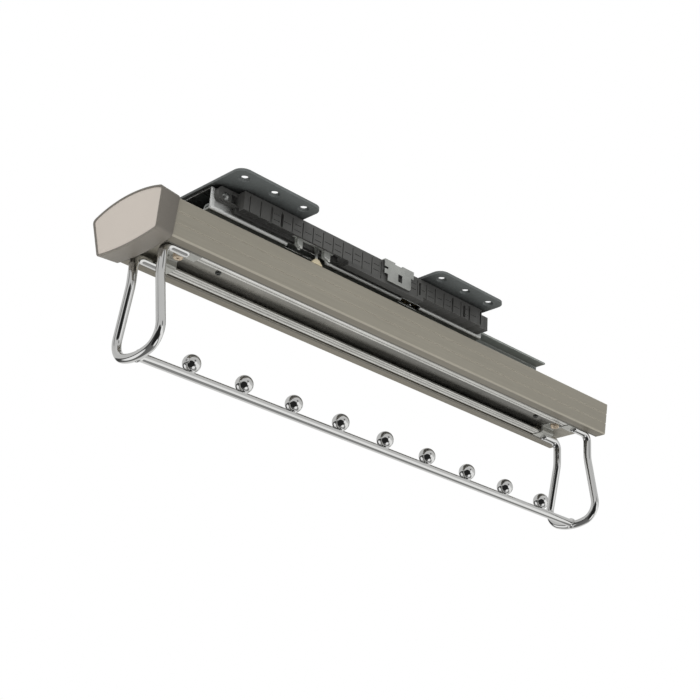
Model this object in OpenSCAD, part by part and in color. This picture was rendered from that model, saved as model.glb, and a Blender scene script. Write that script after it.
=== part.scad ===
// Pull-out clothes rail that hangs under a wardrobe shelf.
// X is the width, Y runs to the back of the wardrobe, Z is up.
// The origin is the middle of the mounting plane on top of the two brackets.
// The rail is drawn pushed in. It pulls out towards -Y.

/* [Mounting brackets] */
// Width of each bracket across both wings
bracket_w = 124; // [118:1:140]
// Length of each bracket along the pull
bracket_len = 78; // [72:1:90]
// Thickness of the bracket plates
bracket_t = 2; // [1.5:0.25:3]
// Radius of the bracket corners
bracket_corner_r = 8; // [3:0.5:10]
// Distance between the middles of the two brackets
bracket_spacing = 204; // [190:2:220]
// Diameter of the fixing holes
hole_d = 5; // [4:0.1:6]
// Distance between neighbouring fixing holes
hole_pitch = 28; // [24:1:30]
// Distance from each row of holes to the side edge
hole_edge = 9.7; // [7:0.1:12]

/* [Fixed rail] */
// Outer width of the fixed rail
rail_w = 56; // [54:1:60]
// Height of the fixed rail
rail_h = 18; // [17:0.5:20]
// Sheet thickness of the fixed rail
rail_t = 1.5; // [1.2:0.1:1.8]
// Length of the fixed rail
rail_len = 289; // [284:1:300]
// Distance from the middle of the mount to the front end of the fixed rail
rail_lead = 139; // [136:1:142]
// Height of the notches in the right lower corner
notch_h = 2.6; // [1.6:0.1:3]

/* [Ball cages] */
// Diameter of the bearing balls
ball_d = 5.2; // [4.8:0.1:5.6]
// Running gap above and below the balls
ball_gap = 0.3; // [0.2:0.05:0.4]
// Thickness of the cage strips
cage_t = 1; // [0.8:0.1:1.4]
// Width of the cage strips
cage_w = 8; // [7.4:0.1:8.4]
// Length of the cage strips
cage_len = 110; // [100:1:114]
// Number of balls in each cage
balls_per_cage = 8; // [6:1:9]

/* [Runner] */
// Width of the runner across its webs
runner_w = 30; // [28:1:32]
// Width of each flange of the runner
runner_flange = 10; // [9:0.5:10.4]
// Sheet thickness of the runner
runner_t = 1.5; // [1.2:0.1:1.8]
// Distance from the front end of the channel to the runner
runner_front_set = 37; // [35:1:42]
// Distance from the runner to the rear end of the channel
runner_rear_set = 77; // [72:1:86]
// Number of screws that hold the runner on the channel
runner_screw_count = 5; // [3:1:6]

/* [Channel] */
// Length of the channel without the cap
channel_len = 486; // [480:1:500]
// Distance from the middle of the mount to the front end of the channel
channel_lead = 171; // [168:1:174]
// Width of the channel at the top
channel_w = 68.6; // [67:0.2:74]
// Width of the channel at the bottom
channel_bottom_w = 62.2; // [60:0.2:66]
// Height of the channel
channel_h = 28; // [26:0.5:32]
// Wall thickness of the channel
channel_t = 2; // [1.6:0.1:2.4]
// Height of the open pocket under the inner web
pocket_h = 8; // [7.6:0.1:9]
// Thickness of the inner web
web_t = 1.6; // [1.2:0.1:2]
// Gap between the fixed rail and the top of the channel
channel_gap = 8; // [7:0.5:10]
// Radius of the fine grooves along the side walls
groove_r = 0.4; // [0.2:0.05:0.6]

/* [Front cap] */
// Depth of the cap at its bottom edge
cap_depth = 15; // [12:0.5:18]
// How much deeper the cap is at the height of the channel's top
cap_lean = 3; // [2:0.5:6]
// How far the cap stands out round the channel
cap_over = 1.8; // [0.8:0.1:2]
// Rise of the arched top edge
cap_arch = 7; // [5:0.5:9]
// Drop of the bowed bottom edge
cap_bow = 2; // [1:0.5:3]
// Corner radius of the cap
cap_corner_r = 3.4; // [2.4:0.1:4]
// Thickness of the front wall behind the insert
cap_front_t = 2; // [1.6:0.1:3]
// Width of the rim round the insert
cap_rim = 1.6; // [1:0.1:1.8]
// Thickness of the insert panel
insert_t = 1.5; // [1.2:0.1:2]
// Length of the spigot that fits in the channel
spigot_len = 12; // [8:1:16]
// Wall thickness of the spigot
spigot_t = 1.6; // [1.2:0.1:2]

/* [Hanger track] */
// Width of the steel track inside the channel
track_w = 41; // [39:0.5:41]
// Distance from each loop to the track
track_set = 31.3; // [30.5:0.1:34]
// Sheet thickness of the track
track_t = 1.2; // [1:0.1:1.4]
// Width of the rolled lips
track_lip = 8.5; // [7:0.1:8.8]
// Height of the inner rim of each lip
track_rim_h = 2.6; // [2:0.1:3]
// Number of screws in the track
track_screw_count = 2; // [2:1:6]
// Distance from the front end of the track to its first screw
track_screw_front = 30; // [24:0.5:36]
// Distance from the last screw of the track to its rear end
track_screw_rear = 20.5; // [16:0.5:30]

/* [End plates] */
// Length of each end plate along the channel
plate_len = 15; // [13:0.5:16]
// Sheet thickness of the end plates
plate_t = 1.5; // [1.2:0.1:1.8]
// Width of the raised middle of the end plates
plate_mid_w = 21; // [20:0.5:22]
// Gap between the track and each end plate
plate_gap = 0.5; // [0.3:0.1:1]

/* [Hanger frame] */
// Diameter of the chrome wire and bar
rod_d = 6.8; // [6:0.1:7]
// Distance from the front end of the channel to the front loop
loop_front_set = 4.7; // [4.4:0.1:6]
// Distance from the rear loop to the rear end of the channel
loop_rear_set = 6.7; // [6:0.1:8]
// Distance between the straight legs of a loop
neck_w = 33.6; // [31:0.2:34]
// Length from the top of a loop to its flare
neck_len = 22; // [18:0.5:34]
// Angle of the flared legs
flare = 11; // [9:0.5:16]
// Greatest width of a loop between wire centres
belly_w = 49.4; // [48:0.1:54]
// Height of a loop between wire centres
loop_drop = 80.5; // [78:0.5:90]
// Bend radius where the wire turns from its stub into the leg
stub_bend_r = 7; // [6:0.5:8]
// Bend radius where the legs flare
neck_bend_r = 40; // [20:1:60]
// Bend radius at the lower corners of a loop
corner_bend_r = 12; // [10:0.5:15]
// How far the bar lies above the bottom of the loops
bar_rise = 1; // [0.5:0.1:2]
// Diameter of the stop knobs on the bar
knob_d = 13.6; // [12:0.1:15]
// Distance between neighbouring knobs
knob_pitch = 48; // [44:0.5:50]
// Least distance from a loop to the nearest knob
knob_margin = 40; // [34:1:44]
// How deep each knob sits in the bar
knob_sink = 0.8; // [0.5:0.1:1.2]
// Diameter of the studs that hold the knobs
stud_d = 4; // [3:0.1:4.4]

/* [Soft-close unit] */
// Length of the housing with its nose
housing_len = 283; // [278:1:288]
// Distance from the middle of the mount to the tip of the nose
housing_lead = 137; // [134:1:139]
// Thickness of the housing
housing_w = 14; // [13:0.5:16]
// Height of the housing
housing_h = 18; // [17.5:0.5:20]
// Length of the flat nose
nose_len = 18; // [16:0.5:20]
// Thickness of the nose
nose_t = 5; // [4:0.5:6]
// Distance between the ribs of the housing
rib_pitch = 10.2; // [9:0.1:12]
// Width of the slits between the ribs
slit_w = 0.9; // [0.6:0.1:1.2]
// Depth of the slits between the ribs
slit_d = 1.1; // [0.6:0.1:1.2]
// Travel of the catch
catch_travel = 50; // [40:1:52]
// Length of the catch
catch_len = 40; // [36:1:42]
// Diameter of the damper cylinder
damper_d = 8; // [7:0.1:8]
// Length of the damper cylinder
damper_len = 78; // [70:1:84]
// Diameter of the damper rod
damper_rod_d = 2.5; // [2:0.1:3]
// Length of the clip over the housing
clip_len = 32; // [28:1:36]
// Sheet thickness of the clip
clip_t = 0.8; // [0.6:0.1:0.9]

/* [Hidden] */
$fn = 64;

// Overrun of cuts past the faces they open
over = 1;
// Countersinks of the fixing holes
hole_sink_d = 8.4;
hole_sink_h = 1.2;
// Gap of pressed and screwed joints
seat_gap = 0.02;
// Gap of sliding fits in the soft-close unit
slide_gap = 0.15;

// Heights of the stack, from the mounting plane down
z_plate = -bracket_t;
z_rail = z_plate - rail_h;
z_channel = z_rail - channel_gap;
z_open = z_channel - channel_h;
z_web = z_open + pocket_h;
lip_top = z_rail + rail_t;
flange_under = lip_top + ball_d + 2 * ball_gap;
flange_top = flange_under + runner_t;
ball_z = lip_top + ball_gap + ball_d / 2;

// Places along the pull
rail_front = -rail_lead;
rail_rear = rail_front + rail_len;
seam_y = -channel_lead;
runner_front = seam_y + runner_front_set;
runner_len = channel_len - runner_front_set - runner_rear_set;

// Lips of the fixed rail leave the webs of the runner free
lip_free = 1.5;
lip_edge = runner_w / 2 + lip_free;

// Rivets between the brackets and the fixed rail
rivet_d = 4;
rivet_head_d = 7;
rivet_head_h = 1.4;
rivet_sink_h = 1.2;
rivet_x = 16;
rivet_y = 24;

// Notches in the fixed rail, as starts and lengths from its front end
notch_starts = [73.5, 194];
notch_lens = [38.5, 21];
notch_x = 4;

// Cage strips, centred on the ball track
track_x = (rail_w / 2 - rail_t + runner_w / 2) / 2;
cage_set = 133;
cage_front = rail_front + cage_set;
cage_pitch = (cage_len - 2 * ball_d) / (balls_per_cage - 1);
cage_hole_gap = 0.2;

// Screws, all of one kind with a pan head
screw_d = 3.6;
screw_head_d = 6.4;
screw_head_h = 2;
screw_len = 6;
drive_w = 0.8;
drive_len = 3.4;
drive_h = 1;
track_head_d = 4.6;
track_head_h = 1.3;
gold_head_d = 8;
gold_head_h = 2.6;
runner_screw_edge = 24;

// Small hole near the rear end of each runner web
runner_hole_d = 3;
runner_hole_edge = 6;

// Bends of sheet parts
bend_steps = 5;
bend_r = 1.6;
track_bend_r = 1.3;
bead_r = 0.4;
bead_in = 3.2;
edge_chamfer = 0.5;
groove_shares = [0.34, 0.64];

// Opening along the bottom of the channel, wide enough for the track and the loops
slot_gap = 0.6;
slot_w = max(track_w, neck_w + rod_d) + 2 * slot_gap;

// Front cap
cap_angle = atan(cap_lean / channel_h);
cap_bottom_x = channel_bottom_w / 2 + cap_over - cap_corner_r;
cap_top_x = channel_w / 2 + cap_over - cap_corner_r;
cap_bottom_z = z_open - cap_over + cap_corner_r;
cap_top_z = z_channel + cap_over - cap_corner_r;
cap_corner_steps = 10;
cap_arc_steps = 44;
insert_set = 0.4;
insert_gap = 0.1;
rib_t = 1.4;

// Hanger frame. Bent parts of the wire are a little thicker than the runs between
// them, and each run ends just inside the bends at its ends.
rod_r = rod_d / 2;
bend_swell = 0.02;
run_in = 0.3;
run_r = rod_r - bend_swell;
stub_z = z_open + rod_r / 4;
loop_spacing = channel_len - loop_front_set - loop_rear_set;
frame_shift = seam_y + loop_front_set + loop_spacing / 2;
track_len = loop_spacing - 2 * track_set;
track_front = frame_shift - track_len / 2;
track_screw_span = track_len - track_screw_front - track_screw_rear;
slot_len = 5;
plate_out = track_len / 2 + plate_gap;
stub_end = plate_out + plate_len - slot_len;
wing_x = neck_w / 2 + rod_r;
hole_small_d = 3;
hole_small_x = 6;
hole_small_back = 4;
gold_back = 6;

// Outline of a loop, from its top down
neck_x = neck_w / 2;
neck_z = -neck_len + neck_bend_r * tan(flare / 2);
flare_x = neck_x + neck_bend_r * (1 - cos(flare));
flare_z = neck_z - neck_bend_r * sin(flare);
corner_x = belly_w / 2 - corner_bend_r;
corner_top_x = corner_x + corner_bend_r * cos(flare);
corner_top_z = flare_z - (corner_top_x - flare_x) / tan(flare);
corner_z = corner_top_z - corner_bend_r * sin(flare);
leg_len = (flare_z - corner_top_z) / cos(flare);
corner_h = corner_z + loop_drop;
belly_r = (corner_x * corner_x + corner_h * corner_h - corner_bend_r * corner_bend_r)
    / (2 * (corner_h - corner_bend_r));
belly_z = belly_r - loop_drop;
belly_half = atan(corner_x / (belly_z - corner_z));

// Bar and knobs
bar_z = stub_z - loop_drop + bar_rise;
knob_z = bar_z + rod_r + knob_d / 2 - knob_sink;
knob_shift = 1.5;
knob_count = floor((loop_spacing - 2 * knob_margin) / knob_pitch) + 1;
stud_len = knob_d / 2 + rod_r;

// Soft-close housing
housing_x = rail_w / 2;
housing_out = housing_x + housing_w;
housing_drop = 0.5;
housing_top = z_plate - housing_drop;
housing_bottom = housing_top - housing_h;
nose_front = -housing_lead;
body_front = nose_front + nose_len;
housing_rear = nose_front + housing_len;
nose_drop = 14.5;
nose_bottom = housing_top - nose_drop;
nose_h = 10.5;
nose_low = housing_top - nose_h;
nose_r = 4;
slope_len = 12;
slope_steps = 12;
slit_edge = 2;
slit_h = housing_h - 2 * slit_edge;
rib_count = floor((housing_len - nose_len - rib_pitch) / rib_pitch);
wide_slit_w = 2.2;
wide_slits = [3, 22, 24];
rear_step_len = 11;
rear_step = 1.2;
window_len = 6;
window_h = 7;
window_drop = 2.4;
window_depth = 4;
housing_rivet_y = 7;
housing_rivet_z = 6.5;
housing_rivet_dome = 2;

// Catch channel inside the housing
blade_x = housing_x + 4.8;
blade_t = 1.2;
catch_w = 7;
catch_slot_w = 4;
catch_reach = 99;
catch_rear = body_front + catch_reach;
catch_front_wall = 2;
catch_roof = 3;
catch_room_h = 7.7;
catch_room_top = housing_top - catch_roof;
catch_room_bottom = catch_room_top - catch_room_h;
pocket_len = 50;
pocket_end = 2;
pocket_wall = 2.2;
catch_back = 4;
claw_t = 0.8;
claw_edge = 2;
front_claw_len = 5;
front_claw_h = 8.6;
rear_claw_len = 6;
rear_claw_h = 8.4;
rear_claw_edge = 5;
claw_bite = 1.5;
damper_z = (catch_room_top + catch_room_bottom) / 2;
damper_gap = 0.1;
damper_wall_len = 6;
damper_y = catch_rear + damper_wall_len;
damper_wall = 1.4;
piston_len = 4;
piston_gap = 0.1;
rod_room = 3;
spring_d = 3.8;
spring_bore_d = 1.8;
spring_len = 70;
spring_x = housing_x + 10.2;
spring_rise = 5;

// Clip over the housing
clip_y = 20.5;
clip_top_w = 22;
clip_drop = 17.4;
clip_corner = 1.6;
clip_dip_y = 11;
clip_dip_len = 8.4;
clip_dip = 1.4;
clip_step = 3.8;
clip_notch_drop = 6.3;
clip_notch_h = 1.9;
clip_tab_h = 3.9;
clip_ear = 2.7;
clip_ear_h = 6.4;
clip_window_y = 14.8;
clip_window_len = 4.6;
clip_window_drop = 8;
clip_window_h = 6.5;

// Activator on the channel
foot_len = 11;
foot_top_len = 3.4;
foot_h = 4;
foot_w = 3;
blade_gap = 0.8;
blade_top = catch_room_bottom - blade_gap;
blade_stem = 2.4;
blade_arm = 3;
blade_fork_h = 4.6;
blade_root = 1.6;
activator_set = 21.3;
activator_y = catch_rear - activator_set;

function unit(v) = v / norm(v);
function left(v) = [-v[1], v[0]];

// Points of a rounded corner at q between p and s
function corner_points(p, q, s, r, n) =
    let (
        a = unit(p - q), b = unit(s - q), half = acos(a * b) / 2,
        c = q + unit(a + b) * r / sin(half),
        u = q + a * r / tan(half) - c, w = q + b * r / tan(half) - c,
        start = atan2(u[1], u[0]), turn = (u[0] * w[1] - u[1] * w[0] > 0 ? 1 : -1) * (180 - 2 * half)
    )
    [for (k = [0:n]) c + r * [cos(start + turn * k / n), sin(start + turn * k / n)]];

// Open path with rounded bends
function bent_path(p, r, n) = [
    p[0],
    for (i = [1:len(p) - 2]) each corner_points(p[i - 1], p[i], p[i + 1], r, n),
    p[len(p) - 1]
];

// Closed outline with rounded corners
function round_outline(p, r, n) = [
    for (i = [0:len(p) - 1])
        each corner_points(p[(i + len(p) - 1) % len(p)], p[i], p[(i + 1) % len(p)], r, n)
];

// Side step from the middle line of a sheet to its face
function side_step(p, i) =
    let (
        a = i > 0 ? unit(p[i] - p[i - 1]) : unit(p[1] - p[0]),
        b = i < len(p) - 1 ? unit(p[i + 1] - p[i]) : a,
        m = unit(left(a) + left(b))
    )
    m / (m * left(a));

// Outline of a sheet of thickness t along a path
function sheet_outline(p, t) = concat(
    [for (i = [0:len(p) - 1]) p[i] + side_step(p, i) * t / 2],
    [for (i = [len(p) - 1:-1:0]) p[i] - side_step(p, i) * t / 2]
);

// Path mirrored to both sides of the middle
function both_sides(p) = concat([for (i = [len(p) - 1:-1:0]) [-p[i][0], p[i][1]]], p);

// Half width of the channel at a depth below its top
function channel_half(d) = channel_w / 2 - (channel_w - channel_bottom_w) / 2 * d / channel_h;

// Stands a flat shape up across the pull and runs it along Y
module along_y(y, length) {
    translate([0, y + length, 0]) rotate([90, 0, 0]) linear_extrude(length) children();
}

// Stands a flat shape up along the pull and runs it along X
module along_x(x, width) {
    translate([x, 0, 0]) rotate([90, 0, 90]) linear_extrude(width) children();
}

// Sheet profile with rounded bends, the same on both sides
module sheet_profile(half_path, t, r) {
    polygon(sheet_outline(bent_path(both_sides(half_path), r, bend_steps), t));
}

// Bracket plate with its fixing holes and rivet holes
module bracket_plate(y) {
    difference() {
        translate([0, y, z_plate]) linear_extrude(bracket_t) polygon(round_outline([
            [-bracket_w / 2, -bracket_len / 2], [bracket_w / 2, -bracket_len / 2],
            [bracket_w / 2, bracket_len / 2], [-bracket_w / 2, bracket_len / 2]
        ], bracket_corner_r, 2 * bend_steps));
        for (side = [-1, 1], k = [-1:1])
            translate([side * (bracket_w / 2 - hole_edge), y + k * hole_pitch, z_plate]) {
                translate([0, 0, -over]) cylinder(d = hole_d, h = bracket_t + 2 * over);
                cylinder(d1 = hole_sink_d, d2 = hole_d, h = hole_sink_h);
            }
        for (side = [-1, 1], end = [-1, 1])
            translate([side * rivet_x, y + end * rivet_y, 0]) rivet_room(seat_gap);
    }
}

// Shank and sunk head of a bracket rivet, grown by a gap
module rivet_room(gap) {
    translate([0, 0, z_plate - over]) cylinder(d = rivet_d + 2 * gap, h = bracket_t + over);
    translate([0, 0, -rivet_sink_h - gap])
        cylinder(d1 = rivet_d + 2 * gap, d2 = rivet_head_d + 2 * gap, h = rivet_sink_h + gap);
    translate([0, 0, -seat_gap / 2]) cylinder(d = rivet_head_d + 2 * gap, h = over);
}

module front_bracket() {
    color("#4c5250") bracket_plate(-bracket_spacing / 2);
}

module rear_bracket() {
    color("#4c5250") bracket_plate(bracket_spacing / 2);
}

// Fixed rail, open below, with its lips turned in
module cabinet_rail() {
    color("#8d9290") difference() {
        along_y(rail_front, rail_len) sheet_profile([
            [rail_w / 2 - rail_t / 2, z_plate - rail_t / 2],
            [rail_w / 2 - rail_t / 2, z_rail + rail_t / 2],
            [lip_edge, z_rail + rail_t / 2]
        ], rail_t, bend_r);
        for (i = [0, 1])
            translate([rail_w / 2 - notch_x, rail_front + notch_starts[i], z_rail - over])
                cube([notch_x + over, notch_lens[i], notch_h + over]);
        for (bracket = [-1, 1], side = [-1, 1], end = [-1, 1])
            translate([
                side * rivet_x, bracket * bracket_spacing / 2 + end * rivet_y, z_plate - rail_t - over
            ]) cylinder(d = rivet_d + 2 * seat_gap, h = rail_t + 2 * over);
        translate([housing_x - rail_t - over, nose_front + housing_rivet_y, housing_top - housing_rivet_z])
            rotate([0, 90, 0]) cylinder(d = rivet_d + 2 * seat_gap, h = rail_t + 2 * over);
    }
}

module bracket_rivets() {
    color("#a8acab")
    for (bracket = [-1, 1], side = [-1, 1], end = [-1, 1])
        translate([side * rivet_x, bracket * bracket_spacing / 2 + end * rivet_y, 0]) {
            translate([0, 0, z_plate - rail_t - rivet_head_h])
                cylinder(d = rivet_head_d, h = rivet_head_h);
            translate([0, 0, z_plate - rail_t - rivet_head_h])
                cylinder(d = rivet_d, h = rivet_head_h + rail_t + bracket_t - rivet_sink_h / 2);
            translate([0, 0, -rivet_sink_h])
                cylinder(d1 = rivet_d, d2 = rivet_head_d, h = rivet_sink_h);
        }
}

// Outline of the nose, with rounded front corners
module nose_outline() {
    polygon(concat(
        corner_points(
            [body_front, nose_low], [nose_front, nose_low], [nose_front, housing_top],
            nose_r, 2 * bend_steps
        ),
        corner_points(
            [nose_front, nose_low], [nose_front, housing_top], [body_front, housing_top],
            nose_r, 2 * bend_steps
        ),
        [[body_front + over, housing_top], [body_front + over, nose_low]]
    ));
}

// Outline of the ribbed body, whose lower edge runs down from the nose in a soft slope
module body_outline() {
    polygon(concat(
        [[body_front, housing_top], [housing_rear, housing_top], [housing_rear, housing_bottom]],
        [for (k = [slope_steps:-1:0]) [
            body_front + slope_len * k / slope_steps,
            nose_bottom - (nose_bottom - housing_bottom) * (1 - cos(180 * k / slope_steps)) / 2
        ]]
    ));
}

// Slits between the ribs on the outer face
module rib_slits() {
    for (i = [1:rib_count]) {
        wide = len(search(i, wide_slits)) > 0;
        y = body_front + rib_pitch * (i - 1 / 2);
        translate([housing_out - slit_d, y - (wide ? wide_slit_w : slit_w) / 2, housing_bottom + slit_edge])
            cube([slit_d + over, wide ? wide_slit_w : slit_w, slit_h]);
        for (row = i % 2 == 0 ? [1 / 2] : [1 / 3, 2 / 3])
            if (i > 2) translate([
                housing_out - slit_d * 2 / 3, y + slit_w * 2, housing_bottom + slit_edge + slit_h * row
            ]) cube([slit_d + over, rib_pitch - slit_w * 4, slit_w * 2 / 3]);
    }
}

module damper_housing() {
    color("#474746") difference() {
        union() {
            along_x(housing_x, housing_w) body_outline();
            along_x(housing_x, nose_t) nose_outline();
        }
        rib_slits();
        translate([housing_out - rear_step, housing_rear - rear_step_len, housing_bottom - over])
            cube([rear_step + over, rear_step_len + over, rear_step_len / 3 + over]);
        translate([
            housing_x + nose_t - window_depth, body_front - window_len,
            housing_top - window_drop - window_h
        ]) cube([window_depth + over, window_len, window_h]);
        translate([housing_x - over, nose_front + housing_rivet_y, housing_top - housing_rivet_z])
            rotate([0, 90, 0]) cylinder(d = rivet_d + 2 * seat_gap, h = nose_t + 2 * over);
        translate([blade_x - catch_w / 2, body_front + catch_front_wall, catch_room_bottom])
            cube([catch_w, catch_rear - body_front - catch_front_wall, catch_room_h]);
        translate([blade_x - catch_slot_w / 2, nose_front - over, housing_bottom - over])
            cube([
                catch_slot_w, catch_rear - nose_front + over, catch_room_bottom - housing_bottom + 2 * over
            ]);
        translate([blade_x - catch_slot_w / 2, catch_rear - pocket_len, housing_bottom - over])
            cube([
                housing_out - pocket_wall - blade_x + catch_slot_w / 2, pocket_len - pocket_end,
                catch_room_bottom - housing_bottom + 2 * over
            ]);
        translate([blade_x, catch_rear - over, damper_z]) rotate([-90, 0, 0])
            cylinder(d = damper_rod_d + 2 * slide_gap, h = damper_wall_len + 2 * over);
        translate([blade_x, damper_y, damper_z]) rotate([-90, 0, 0])
            cylinder(d = damper_d + 2 * damper_gap, h = damper_len + 2 * damper_gap);
        translate([spring_x, damper_y, housing_bottom + spring_rise]) rotate([-90, 0, 0])
            cylinder(d = spring_d + 2 * damper_gap, h = spring_len + 2 * damper_gap);
    }
}

module housing_rivet() {
    color("#9a9c9a")
    translate([housing_x - rail_t, nose_front + housing_rivet_y, housing_top - housing_rivet_z])
        rotate([0, 90, 0]) {
            cylinder(d = rivet_d, h = rail_t + nose_t + housing_rivet_dome / 2);
            translate([0, 0, rail_t + nose_t]) rotate_extrude() intersection() {
                translate([0, housing_rivet_dome - rivet_head_d / 2])
                    circle(r = rivet_head_d / 2 + seat_gap);
                square([rivet_head_d / 2, housing_rivet_dome]);
            }
        }
}

// Stamped clip that holds the housing on the fixed rail
module spring_clip() {
    y = clip_y;
    top = z_plate + clip_t;
    rear = y + clip_len;
    tab_top = top - clip_notch_drop - clip_notch_h;
    color("#a3a69f") difference() {
        union() {
            translate([housing_out + clip_t - clip_top_w, y, z_plate])
                cube([clip_top_w, clip_len, clip_t]);
            along_x(housing_out, clip_t) polygon([
                [y, top], [rear - clip_corner, top], [rear, top - clip_corner],
                [rear, top - clip_ear_h], [rear - clip_ear, top - clip_ear_h],
                [rear - clip_ear, top - clip_drop + clip_corner],
                [rear - clip_ear - clip_corner, top - clip_drop],
                [y + clip_step, top - clip_drop], [y + clip_step, tab_top - clip_tab_h],
                [y, tab_top - clip_tab_h], [y, tab_top], [y + clip_step, tab_top],
                [y + clip_step, top - clip_notch_drop], [y, top - clip_notch_drop]
            ]);
        }
        translate([housing_out - clip_dip, y + clip_dip_y, top - clip_dip])
            cube([clip_dip + clip_t + over, clip_dip_len, clip_dip + over]);
        translate([housing_out - over, y + clip_window_y, top - clip_window_drop - clip_window_h])
            cube([clip_t + 2 * over, clip_window_len, clip_window_h]);
        translate([housing_out - clip_top_w, y + clip_len / 3, z_plate - over])
            cube([clip_top_w / 3 + clip_t, clip_len / 4, clip_t + 2 * over]);
    }
}

module damper_cylinder() {
    color("#b9bbb8") translate([blade_x, damper_y + damper_gap, damper_z]) rotate([-90, 0, 0])
        difference() {
            cylinder(d = damper_d, h = damper_len);
            translate([0, 0, damper_wall]) cylinder(
                d = damper_d - 2 * damper_wall, h = damper_len - 2 * damper_wall
            );
            translate([0, 0, -over]) cylinder(d = damper_rod_d + 2 * damper_gap, h = damper_wall + 2 * over);
        }
}

module closing_spring() {
    color("#8f9190") translate([spring_x, damper_y + damper_gap, housing_bottom + spring_rise])
        rotate([-90, 0, 0]) difference() {
            cylinder(d = spring_d, h = spring_len);
            translate([0, 0, -over]) cylinder(d = spring_bore_d, h = spring_len + 2 * over);
        }
}

// One pair of claws astride the path of the activator blade
module claw_pair(y, length, height) {
    for (side = [-1, 1])
        along_x(
            blade_x + side * (catch_slot_w / 2 - slide_gap - claw_t / 2) - claw_t / 2, claw_t
        ) polygon([
            [y, catch_room_bottom + slide_gap + over], [y + length, catch_room_bottom + slide_gap + over],
            [y + length, catch_room_bottom - height], [y + length - claw_bite, catch_room_bottom - height],
            [y + length - 2 * claw_bite, catch_room_bottom - height + claw_bite],
            [y + claw_bite, catch_room_bottom - height + claw_bite],
            [y, catch_room_bottom - height + 2 * claw_bite]
        ]);
}

module closing_catch() {
    color("#8b8d88") difference() {
        union() {
            translate([
                blade_x - catch_w / 2 + slide_gap, catch_rear - catch_back - catch_len,
                catch_room_bottom + slide_gap
            ]) cube([catch_w - 2 * slide_gap, catch_len, catch_room_h - 2 * slide_gap]);
            claw_pair(catch_rear - catch_back - catch_len + claw_edge, front_claw_len, front_claw_h);
            claw_pair(catch_rear - catch_back - rear_claw_edge - rear_claw_len, rear_claw_len, rear_claw_h);
        }
        translate([blade_x, catch_rear - catch_back - claw_edge, damper_z]) rotate([-90, 0, 0])
            cylinder(d = damper_rod_d + 2 * seat_gap, h = claw_edge + over);
        translate([blade_x - catch_w, catch_rear - catch_back - catch_len * 3 / 4, damper_z])
            cube([2 * catch_w, catch_len / 3, catch_room_h]);
    }
}

module damper_rod() {
    color("#c9cbc8") translate([blade_x, 0, damper_z]) rotate([-90, 0, 0]) {
        translate([0, 0, catch_rear - catch_back - claw_edge])
            cylinder(d = damper_rod_d, h = damper_y + damper_len - damper_wall - rod_room
                - (catch_rear - catch_back - claw_edge));
        translate([0, 0, damper_y + damper_len - damper_wall - rod_room - piston_len])
            cylinder(d = damper_d - 2 * damper_wall - 2 * piston_gap, h = piston_len);
    }
}

module ball_cages() {
    color("#b4a06a")
    for (side = [-1, 1]) difference() {
        translate([side * track_x - cage_w / 2, cage_front, ball_z - cage_t / 2])
            cube([cage_w, cage_len, cage_t]);
        for (k = [0:balls_per_cage - 1])
            translate([side * track_x, cage_front + ball_d + k * cage_pitch, ball_z - cage_t])
                cylinder(d = ball_d + 2 * cage_hole_gap, h = 2 * cage_t);
    }
}

module bearing_balls() {
    color("#d5d7d6")
    for (side = [-1, 1], k = [0:balls_per_cage - 1])
        translate([side * track_x, cage_front + ball_d + k * cage_pitch, ball_z]) sphere(d = ball_d);
}

// Pan head screw, its tip at the origin side of the head plane
module pan_screw(head_d, head_h, shank_len) {
    difference() {
        union() {
            cylinder(d = screw_d, h = shank_len);
            translate([0, 0, -head_h]) cylinder(d1 = head_d * 4 / 5, d2 = head_d, h = head_h / 2);
            translate([0, 0, -head_h / 2]) cylinder(d = head_d, h = head_h / 2);
        }
        for (turn = [0, 90]) rotate([0, 0, turn])
            translate([-drive_len / 2, -drive_w / 2, -head_h - over])
                cube([drive_len, drive_w, drive_h + over]);
    }
}

// Runner in a hat section that carries the channel
module runner() {
    color("#848b87") difference() {
        along_y(runner_front, runner_len) sheet_profile([
            [runner_w / 2 - runner_t / 2, z_channel + runner_t / 2],
            [runner_w / 2 - runner_t / 2, flange_top - runner_t / 2],
            [runner_w / 2 + runner_flange, flange_top - runner_t / 2]
        ], runner_t, bend_r);
        for (k = [0:runner_screw_count - 1])
            translate([0, runner_screw_y(k), z_channel - over])
                cylinder(d = screw_d + 2 * seat_gap, h = runner_t + 2 * over);
        translate([
            -runner_w, runner_front + runner_len - runner_hole_edge, flange_under - runner_hole_d
        ]) rotate([0, 90, 0]) cylinder(d = runner_hole_d, h = 2 * runner_w);
    }
}

function runner_screw_y(k) = runner_front + runner_screw_edge
    + k * (runner_len - 2 * runner_screw_edge) / (runner_screw_count - 1);

module runner_screws() {
    color("#b9a25a")
    for (k = [0:runner_screw_count - 1])
        translate([0, runner_screw_y(k), z_channel + runner_t]) rotate([180, 0, 0])
            pan_screw(screw_head_d, screw_head_h, screw_len);
}

// Outer outline of the channel
module channel_outer() {
    translate([0, z_channel]) polygon([
        [-channel_w / 2 + edge_chamfer, 0], [channel_w / 2 - edge_chamfer, 0],
        [channel_half(edge_chamfer), -edge_chamfer],
        [channel_half(channel_h - edge_chamfer), -channel_h + edge_chamfer],
        [channel_bottom_w / 2 - edge_chamfer, -channel_h],
        [-channel_bottom_w / 2 + edge_chamfer, -channel_h],
        [-channel_half(channel_h - edge_chamfer), -channel_h + edge_chamfer],
        [-channel_half(edge_chamfer), -edge_chamfer]
    ]);
}

// Slice of the room between the side walls, from one depth to another, drawn in by a gap
module channel_room(from, to, gap) {
    translate([0, z_channel]) polygon([
        [-channel_half(from) + channel_t + gap, -from], [channel_half(from) - channel_t - gap, -from],
        [channel_half(to) - channel_t - gap, -to], [-channel_half(to) + channel_t + gap, -to]
    ]);
}

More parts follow.
